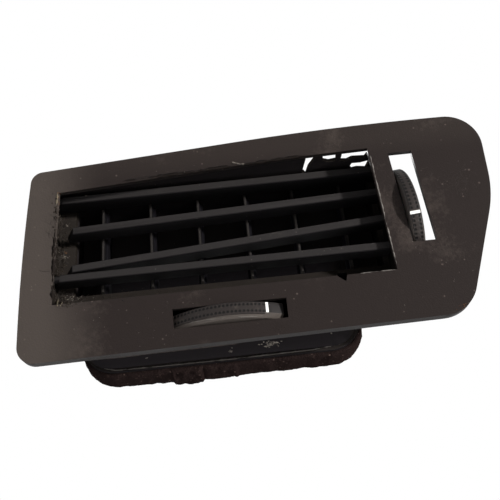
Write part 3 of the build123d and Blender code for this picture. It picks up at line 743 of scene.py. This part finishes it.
def scuff_and_highlight(name, tree, anchor, spots, width, material, seed, lift=0.02, broken=0.35, steps=120,
          body="frame"):
    """Thin ribbon along a line of picture points, for scuffs and a painted highlight; its width wavers
    and breaks off by ripples.

    The line lies on the flat face seen at the anchor point, or drapes over the surface without one;
    the ribbon is turned the way the bezel faces.
    Width and lift are in mm, and a larger share broken leaves more gaps.
    """
    thick, least_half, taper, tip = 0.012 * MM, 0.01 * MM, 6.0, 0.1
    long_wave, short_wave, short_share = 9 * MM, 2.2 * MM, 0.7
    mean_width, swing, narrowest, widest, gap_mark = 0.75, 0.6, 0.04, 1.3, 1.6
    if anchor:
        line = on_plane(tree, anchor, spots, steps, lift)
    else:
        line = draped_line(tree, spots, steps, lift)
    along = np.gradient(line, axis=0)
    along /= np.linalg.norm(along, axis=1, keepdims=True)
    outward = np.array([0.0, -math.cos(BEZEL_LEAN), -math.sin(BEZEL_LEAN)])
    aside = np.cross(along, outward)
    aside /= np.linalg.norm(aside, axis=1, keepdims=True)
    wave = ripple(line, long_wave, seed) + short_share * ripple(line, short_wave, seed + 1)
    unbroken = wave > -gap_mark + gap_mark * broken
    half = 0.5 * width * MM * np.clip(mean_width + swing * wave, narrowest, widest) * unbroken
    half = np.maximum(half, least_half)
    ends = np.clip(np.minimum(np.arange(steps), np.arange(steps)[::-1]) / taper, tip, 1)
    half = (half * ends)[:, None]
    section = np.stack([line - aside * half, line + outward * thick,
                        line + aside * half, line - outward * thick * 2], axis=1)
    faces = quads(steps, 4, wrap_columns=True).tolist()
    faces += [[0, 1, 2, 3], list(range(steps * 4 - 4, steps * 4))]
    add_piece(name, section.reshape(-1, 3), faces, material, body)


# The view and the light

set_camera()
set_world(level=0.11, background=1.0)
add_lamp("key", place=(1.64, -1.11, -0.27), target=(0.0, 0.0, 0.01), size=0.12, power=62.0,
         colour=(1.0, 0.98, 0.95))
add_lamp("fill", place=(-0.7, -0.8, 0.35), target=(0.0, 0.0, 0.0), size=0.5, power=0.9,
         colour=(1.0, 1.0, 1.0))
add_lamp("rear", place=(-0.6, 0.9, 0.75), target=(0.0, 0.0, 0.0), size=0.4, power=30.0,
         colour=(1.0, 1.0, 1.0))
add_floor(height=-0.5, half=3.0)


# Materials, by what they are made of; colours are linear red, green, blue

downwards, upwards = (0.0, 0.0, -1.0), (0.0, 0.0, 1.0)
forwards, backwards = (0.0, -1.0, 0.0), (0.0, 1.0, 0.0)
leftwards, rightwards = (-1.0, 0.0, 0.0), (1.0, 0.0, 0.0)

# Where a zone of colour starts and is full, in metres: painted light on the bezel's left end and top,
# the vanes' paler front edges, and painted shade on the duct's left wall, deep inside and underneath
painted_light_left_end, painted_light_top = (-0.044, -0.073), (0.030, 0.042)
vane_front_edge = (0.0034, 0.0024)
duct_left_wall, duct_depth, duct_underside = (-0.047, -0.053), (0.0042, 0.0075), (-0.0072, -0.0085)

bezel_plastic = moulded_plastic(
    "bezel_plastic", (0.0178, 0.0136, 0.0126), (0.048, 0.038, 0.0335), dust_size=38.0,
    depth=0.00004, scratches=0.4, specks=0.08, specular=0.08,
    # Painted shade: darker on the sides that face down
    facings=((downwards, 0.5, 0.85, 0.8, (0.011, 0.009, 0.0085)),),
    # Painted light: the bezel is paler towards its left end and its top
    zones=(("X", *painted_light_left_end, 0.6, (0.082, 0.069, 0.061)),
           ("Z", *painted_light_top, 0.12, (0.070, 0.058, 0.050))))
bezel_edge = worn_edge("bezel_edge", (0.022, 0.018, 0.017), (0.075, 0.064, 0.057), cover=0.35)
slat_plastic = moulded_plastic(
    "slat_plastic", (0.025, 0.023, 0.023), (0.044, 0.039, 0.036), cover=0.4,
    rough=(0.75, 0.9), specular=0.03,
    # Painted shade: the slats are darker on their undersides
    facings=((downwards, 0.2, 0.6, 0.92, (0.011, 0.010, 0.011)),))
slat_edge = worn_edge("slat_edge", (0.034, 0.032, 0.032), (0.10, 0.095, 0.09), cover=0.4)
# Painted shade: near-black, bluish vanes deep in the duct; their front edges are paler
vane_plastic = moulded_plastic(
    "vane_plastic", (0.010, 0.009, 0.012), (0.018, 0.016, 0.017), cover=0.4, depth=0.00002,
    rough=(0.75, 0.9), specular=0.02,
    # Painted shade on the right sides, which the key lamp lights
    facings=((rightwards, 0.3, 0.8, 0.9, (0.0035, 0.0033, 0.0040)),),
    zones=(("Y", *vane_front_edge, 0.9, (0.034, 0.031, 0.029)),))
duct_plastic = moulded_plastic(
    "duct_plastic", (0.016, 0.013, 0.011), (0.034, 0.027, 0.021), cover=0.55, dust_size=110.0,
    grain=900.0, rough=(0.6, 0.85), specular=0.0, specks=0.3,
    # Painted shade on the sides that face down; the sides facing up, back, left, right and forward are
    # paler
    facings=((downwards, 0.3, 0.75, 0.9, (0.0135, 0.0120, 0.0130)),
             (upwards, 0.4, 0.8, 0.9, (0.034, 0.029, 0.025)),
             (backwards, 0.4, 0.8, 0.85, (0.026, 0.023, 0.021)),
             (leftwards, 0.5, 0.85, 0.7, (0.022, 0.019, 0.017)),
             (rightwards, 0.5, 0.85, 0.5, (0.018, 0.015, 0.013)),
             (forwards, 0.6, 0.85, 0.6, (0.036, 0.031, 0.028))),
    # Painted shade on the left wall, deep inside and on the underside
    zones=(("X", *duct_left_wall, 0.75, (0.008, 0.0065, 0.0055)),
           ("Y", *duct_depth, 1.0, (0.0120, 0.0108, 0.0140)),
           ("Z", *duct_underside, 0.8, (0.007, 0.006, 0.0065))))
duct_edge = worn_edge("duct_edge", (0.03, 0.028, 0.026), (0.16, 0.14, 0.12), cover=0.5)
foam_skin = moulded_plastic(
    "foam_skin", (0.0135, 0.0090, 0.0085), (0.050, 0.035, 0.030), cover=0.42, dust_size=420.0,
    grain=1300.0, depth=0.0003, rough=(0.85, 0.95), specular=0.0, specks=0.35)
wheel_plastic = moulded_plastic(
    "wheel_plastic", (0.022, 0.020, 0.020), (0.042, 0.036, 0.033), cover=0.35, depth=0.00002,
    rough=(0.45, 0.65),
    # Painted light on the sides that face left; the sides that face down are paler
    facings=((downwards, 0.3, 0.75, 0.9, (0.075, 0.064, 0.057)),
             (leftwards, 0.3, 0.8, 0.85, (0.062, 0.053, 0.048))))
grip_plastic = moulded_plastic(
    "grip_plastic", (0.024, 0.020, 0.019), (0.050, 0.042, 0.037), dust_size=400.0,
    # Dented: painted shade in the dimples
    rough=(0.5, 0.7), dented=(0.005, 0.0045, 0.0045))
link_plastic = moulded_plastic(
    "link_plastic", (0.05, 0.05, 0.05), (0.08, 0.07, 0.06), cover=0.4, depth=0.00002)
index_paint = moulded_plastic(
    "index_paint", (0.80, 0.80, 0.78), (0.45, 0.42, 0.38), cover=0.3, dust_size=300.0,
    depth=0.00001, specks=0.15)
steel = moulded_plastic(
    "steel", (0.16, 0.16, 0.165), (0.07, 0.06, 0.05), cover=0.45, dust_size=200.0, depth=0.00001,
    rough=(0.35, 0.6), specular=0.4)

crumbly = {"cover": 0.55, "depth": 0.0001, "rough": (0.8, 0.95), "specular": 0.1}
dirt = moulded_plastic(
    "caked_dirt", (0.024, 0.019, 0.015), (0.050, 0.040, 0.032), dust_size=500.0, **crumbly)
pale_dirt = moulded_plastic(
    "pale_dirt", (0.13, 0.115, 0.10), (0.30, 0.27, 0.235), dust_size=500.0, **crumbly)
rust = moulded_plastic(
    "rust_stain", (0.10, 0.045, 0.018), (0.16, 0.085, 0.04), dust_size=700.0, **crumbly)
straw = moulded_plastic(
    "dry_straw", (0.13, 0.108, 0.075), (0.20, 0.175, 0.13), dust_size=600.0,
    depth=0.0001, rough=(0.6, 0.8), specular=0.2)
lint = moulded_plastic(
    "grey_lint", (0.055, 0.047, 0.042), (0.12, 0.105, 0.09), dust_size=500.0,
    depth=0.00005, rough=(0.85, 0.95), specular=0.05)
dark_fibre = moulded_plastic(
    "dark_fibre", (0.010, 0.009, 0.009), (0.03, 0.026, 0.024), dust_size=500.0,
    depth=0.00005, rough=(0.7, 0.9), specular=0.1)
grime = moulded_plastic(
    "dark_grime", (0.0095, 0.0070, 0.0060), (0.022, 0.016, 0.013), cover=0.4, dust_size=400.0,
    depth=0.00004, rough=(0.7, 0.9), specular=0.05)
rubbed = moulded_plastic(
    "rubbed_plastic", (0.032, 0.026, 0.024), (0.060, 0.050, 0.045), dust_size=300.0,
    rough=(0.6, 0.8), specular=0.1)
# Pale scuffed plastic, also the painted highlight on the collar's rim
scuffed_and_highlight = moulded_plastic(
    "scuffed_plastic_and_highlight", (0.11, 0.10, 0.092), (0.20, 0.18, 0.16), dust_size=400.0,
    rough=(0.6, 0.8), specular=0.2)


# CAD nodes dressed in their materials

dress("bezel", bezel_plastic, bezel_edge, 0.45 * MM)
dress("housing", duct_plastic, duct_edge, 0.25 * MM)
for number in range(1, 5):
    dress(f"slat_{number}", slat_plastic, slat_edge, 0.25 * MM)
for number in range(1, 7):
    dress(f"vane_{number}", vane_plastic, radius=0.2 * MM)
for name in ("lower_wheel", "side_wheel"):
    dress(name, wheel_plastic, radius=0.15 * MM)
for name in ("slat_link", "vane_link"):
    dress(name, link_plastic)
for name in ("lower_wheel_mark", "side_wheel_mark"):
    dress(name, index_paint)
for name in ("bezel_screws", "lower_wheel_pin", "side_wheel_pin"):
    dress(name, steel)
dress("foam_seal", foam_skin)


# Grips and foam

grip_band("lower_wheel_grip", "lower_wheel_turn", "lower_wheel", radius=45.0, rise=0.22,
          spans=[(-43.2, 17.1)], rows=(-1.05, 1.7), edges=(-2.2, 2.75), pitch=1.5, dimple=0.78)
grip_band("side_wheel_grip", "side_wheel_turn", "side_wheel", radius=21.0, rise=0.2,
          spans=[(-59.0, 23.6), (28.4, 59.0)], rows=(-1.2, 1.2), edges=(-1.95, 1.95), pitch=1.7,
          dimple=0.85)
foam_strip()
foam_shreds()


# Wear along edges: each line is picture points, then width in mm, material, seed, share broken, steps

bezel_surface = surface_of("bezel")
duct_surface = surface_of("housing")
inside_surface = surface_of("housing", "slat_1", "slat_2", "slat_3", "slat_4")
wall_surface = surface_of("housing", "bezel")
wheel_surface = surface_of("lower_wheel")

plain_bezel = (430, 250)
bezel_lines = {
    "opening_edge_scuff": (((369.4, 152), (377.4, 186), (385.2, 218), (392, 246), (397.4, 267)),
                           0.6, scuffed_and_highlight, 31, 0.1, 120),
    "low_edge_scuff": (((96, 360.3), (140, 355.1), (190, 349.2), (240, 343.4)),
                       0.3, rubbed, 33, 0.6, 120),
    "corner_scuff": (((360, 273.4), (376, 271.4), (397, 269.4)), 0.5, scuffed_and_highlight, 35, 0.2, 50),
    "left_edge_scuff": (((57.6, 192), (57.0, 198), (56.4, 205)), 1.0, straw, 37, 0.1, 40),
    "top_chip": (((231.5, 161.8), (235, 163.0), (239.5, 163.9), (244.5, 164.0)),
                 0.9, pale_dirt, 39, 0.15, 50),
    "top_edge_grime": (((122, 181.3), (160, 176.0), (210, 169.0), (262, 161.7), (304, 155.6)),
                       1.1, grime, 83, 0.25, 120),
    "left_edge_grime": (((56.2, 206), (55.2, 226), (53.8, 250), (52.8, 275), (51.8, 299)),
                        1.5, grime, 85, 0.0, 120),
}
for name, (line, width, material, seed, broken, steps) in bezel_lines.items():
    scuff_and_highlight(name, bezel_surface, plain_bezel, line, width, material, seed,
          broken=broken, steps=steps)

# Painted highlight: a pale ribbon along the collar's rim, where its rounded rib catches the light
rim_line = ((104, 368.6), (116, 370.4), (163, 366.0), (230, 359.2), (313, 349.6), (340, 344.2))
scuff_and_highlight("rim_painted_highlight", duct_surface, None, rim_line, 0.9, scuffed_and_highlight, 89, lift=0.05, broken=0.0)

flange_lines = (((182, 324.6), (195, 321.6), (210, 319.2), (226, 317.6)),
                ((238, 316.9), (250, 316.2), (264, 315.8)))
for number, line in enumerate(flange_lines):
    scuff_and_highlight(f"flange_wear_{number + 1}", wheel_surface, None, line, 0.5, scuffed_and_highlight,
          95 + number, lift=0.08, broken=0.2, steps=50, body="lower_wheel")

scratched_spots = (((461, 180), (8, 8), 80, 2.6, 87), ((431, 181), (9, 10), 26, 2.0, 88))
fine_marks = []
for spot, spread, count, length, seed in scratched_spots:
    fine_marks += tuft(bezel_surface, spot, spread, count, length, seed, lie=1.0)
strand_piece("fine_scratches", fine_marks, 0.03, rubbed)


# Crumbs of dirt: clusters of picture point, spread in pixels, count, least and largest size in mm

wall_dirt = [
    ((60, 215), (3.5, 10), 70, 0.3, 0.9), ((62, 245), (4.5, 12), 110, 0.3, 1.0),
    ((63, 280), (4, 8), 60, 0.3, 0.9), ((66, 300), (6, 3.5), 70, 0.3, 1.0),
    ((54, 262), (1.2, 16), 40, 0.25, 0.6)]
ledge_dirt = [
    ((95, 297), (14, 2.2), 70, 0.25, 0.8), ((150, 292), (24, 2), 60, 0.25, 0.6),
    ((250, 284), (45, 2), 50, 0.25, 0.5)]
pale_crumbs = [
    ((69, 299), (4, 2.0), 26, 0.3, 0.8), ((67, 226), (0.4, 0.4), 3, 0.5, 0.8),
    ((64, 257), (1.6, 1.2), 12, 0.25, 0.6), ((268, 344), (7, 2.0), 34, 0.3, 0.9),
    ((272, 343), (3, 1.2), 20, 0.4, 1.0), ((147, 357.5), (1, 0.6), 3, 0.4, 0.7),
    ((232, 351), (2.5, 1), 7, 0.3, 0.6), ((332, 333.5), (0.6, 0.4), 2, 0.4, 0.7),
    ((80, 298), (8, 2), 20, 0.2, 0.5)]
rust_spots = [
    ((65.5, 252.5), (1.1, 0.8), 10, 0.3, 0.7), ((463, 307), (2.2, 2.4), 16, 0.15, 0.4),
    ((59, 199), (1.0, 3.0), 14, 0.25, 0.6)]
slat_specks = [
    ((86, 196), (0.5, 0.4), 3, 0.3, 0.5), ((150, 190), (60, 6), 20, 0.12, 0.25),
    ((200, 215), (80, 6), 20, 0.12, 0.25), ((220, 252), (90, 7), 24, 0.12, 0.28),
    ((300, 250), (60, 5), 14, 0.12, 0.25)]
bezel_specks = [
    ((150, 320), (70, 14), 34, 0.12, 0.3), ((430, 250), (25, 50), 30, 0.12, 0.3),
    ((200, 165), (100, 6), 24, 0.12, 0.3), ((470, 305), (2, 2), 8, 0.2, 0.5)]
smudge = [((281, 328), (6, 3.5), 120, 0.08, 0.26)]
bezel_pit = [((123, 300.5), (0.5, 0.3), 5, 0.25, 0.5)]

crumb_piece("wall_dirt", wall_surface, wall_dirt, dirt, 41)
crumb_piece("ledge_dirt", duct_surface, ledge_dirt, dirt, 43)
crumb_piece("pale_crumbs", wall_surface, pale_crumbs, pale_dirt, 47)
crumb_piece("rust_spot", wall_surface, rust_spots, rust, 51)
crumb_piece("slat_specks", inside_surface, slat_specks, pale_dirt, 53)
crumb_piece("bezel_specks", bezel_surface, bezel_specks, pale_dirt, 59)
crumb_piece("smudge", bezel_surface, smudge, grime, 60, flat=0.15)
crumb_piece("bezel_pit", bezel_surface, bezel_pit, dark_fibre, 61)


# Lint, fringe, hairs and straw, placed by picture points

linty_spots = (((60, 240), (3.2, 18), 130, 2.6, 63), ((66, 300), (6, 3), 60, 2.4, 65),
               ((58, 285), (3, 9), 50, 2.2, 67))
wall_lint = []
for spot, spread, count, length, seed in linty_spots:
    wall_lint += tuft(wall_surface, spot, spread, count, length, seed)
strand_piece("wall_lint", wall_lint, 0.05, lint)

fringe_start, fringe_end, fringe_step, fringe_spread = 132, 292, 4, (2.4, 0.25)
edge_left, edge_height, edge_slope, above_edge = 62, 190.3, -0.1405, 0.8
fringe = []
for px in range(fringe_start, fringe_end, fringe_step):
    py = edge_height + edge_slope * (px - edge_left) - above_edge
    fringe += tuft(bezel_surface, (px, py), fringe_spread, 5, 0.8, 300 + px, lie=0.9)
strand_piece("frayed_edge", fringe, 0.045, dark_fibre)

bezel_hair = [(39.5, 270.6), (44, 271.9), (50.5, 271.2)]
wall_hair = [(58.5, 231), (59.4, 235), (61.5, 239.5), (65, 242.5), (69, 243.8)]
hairs = [draped_line(bezel_surface, bezel_hair, 14, 0.06, 0.15, 71),
         draped_line(wall_surface, wall_hair, 18, 0.15, 0.3, 73)]
strand_piece("dark_hairs", hairs, [0.05, 0.16], dark_fibre, 5)

long_stalk = [(57.2, 300), (57.5, 302.5), (57.4, 306)]
short_stalk = [(60.5, 306), (61.6, 304.5), (62.4, 302.6)]
stalks = [draped_line(wall_surface, long_stalk, 8, 0.25, 0.1, 75),
          draped_line(wall_surface, short_stalk, 8, 0.22, 0.1, 77)]
strand_piece("straw_bits", stalks, [0.28, 0.20], straw, 6)

bpy.context.scene.view_settings.view_transform = "Standard"
